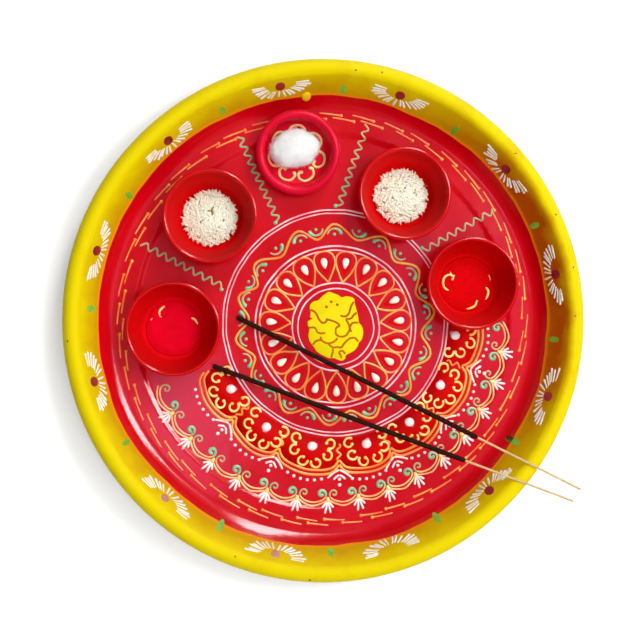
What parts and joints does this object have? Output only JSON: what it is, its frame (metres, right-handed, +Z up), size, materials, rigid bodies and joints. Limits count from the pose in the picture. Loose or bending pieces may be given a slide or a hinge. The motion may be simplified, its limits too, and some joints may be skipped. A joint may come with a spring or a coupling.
{
  "type": "puja thali",
  "caption": "Round painted steel worship tray with a rolled lip, small bowls of rice and kumkum, a cotton lamp cup and loose incense sticks.",
  "frame": {"origin": "centre of the tray's flat underside", "axes": "+Z up out of the tray, +Y from the centre towards the lamp cup, +X to the right seen from above"},
  "size_m": [0.3, 0.3, 0.0292],
  "materials": {
    "tray_paint": "glossy hand-applied red enamel, yellow on the wall and lip",
    "emblem_film": "yellow film with red-brown lines",
    "bowl_paint": "glossy red enamel",
    "cup_paint": "glossy red enamel",
    "cotton_wool": "loose white cotton wool",
    "rice": "dry raw grains, cream",
    "kumkum_pink": "fine dry powder, pink red",
    "kumkum_red": "fine dry powder, red",
    "bamboo": "split bamboo, bare",
    "incense_paste": "rough dark brown incense paste"
  },
  "bodies": {
    "tray": {"thali_plate": "tray_paint", "centre_emblem": "emblem_film"},
    "left_kumkum": {"kumkum_bowl_left": "bowl_paint", "kumkum_left": "kumkum_pink"},
    "left_rice": {"rice_bowl_left": "bowl_paint", "rice_left": "rice"},
    "right_rice": {"rice_bowl_right": "bowl_paint", "rice_right": "rice"},
    "right_kumkum": {"kumkum_bowl_right": "bowl_paint", "kumkum_right": "kumkum_red"},
    "lamp": {"diya_cup": "cup_paint"},
    "cotton": {"cotton_puff": "cotton_wool"},
    "upper_stick": {"incense_core_upper": "bamboo", "incense_paste_upper": "incense_paste"},
    "lower_stick": {"incense_core_lower": "bamboo", "incense_paste_lower": "incense_paste"}
  },
  "joints": [
    {"name": "left_kumkum_lift", "type": "slide", "parent": "tray", "child": "left_kumkum", "axis": [0, 0, 1], "range_m": [0, 0.06]},
    {"name": "left_rice_lift", "type": "slide", "parent": "tray", "child": "left_rice", "axis": [0, 0, 1], "range_m": [0, 0.06]},
    {"name": "right_rice_lift", "type": "slide", "parent": "tray", "child": "right_rice", "axis": [0, 0, 1], "range_m": [0, 0.06]},
    {"name": "right_kumkum_lift", "type": "slide", "parent": "tray", "child": "right_kumkum", "axis": [0, 0, 1], "range_m": [0, 0.06]},
    {"name": "lamp_lift", "type": "slide", "parent": "tray", "child": "lamp", "axis": [0, 0, 1], "range_m": [0, 0.06]},
    {"name": "cotton_lift", "type": "slide", "parent": "lamp", "child": "cotton", "axis": [0, 0, 1], "range_m": [0, 0.04]},
    {"name": "upper_stick_lift", "type": "slide", "parent": "tray", "child": "upper_stick", "axis": [0, 0, 1], "range_m": [0, 0.08]},
    {"name": "lower_stick_lift", "type": "slide", "parent": "tray", "child": "lower_stick", "axis": [0, 0, 1], "range_m": [0, 0.08]}
  ]
}
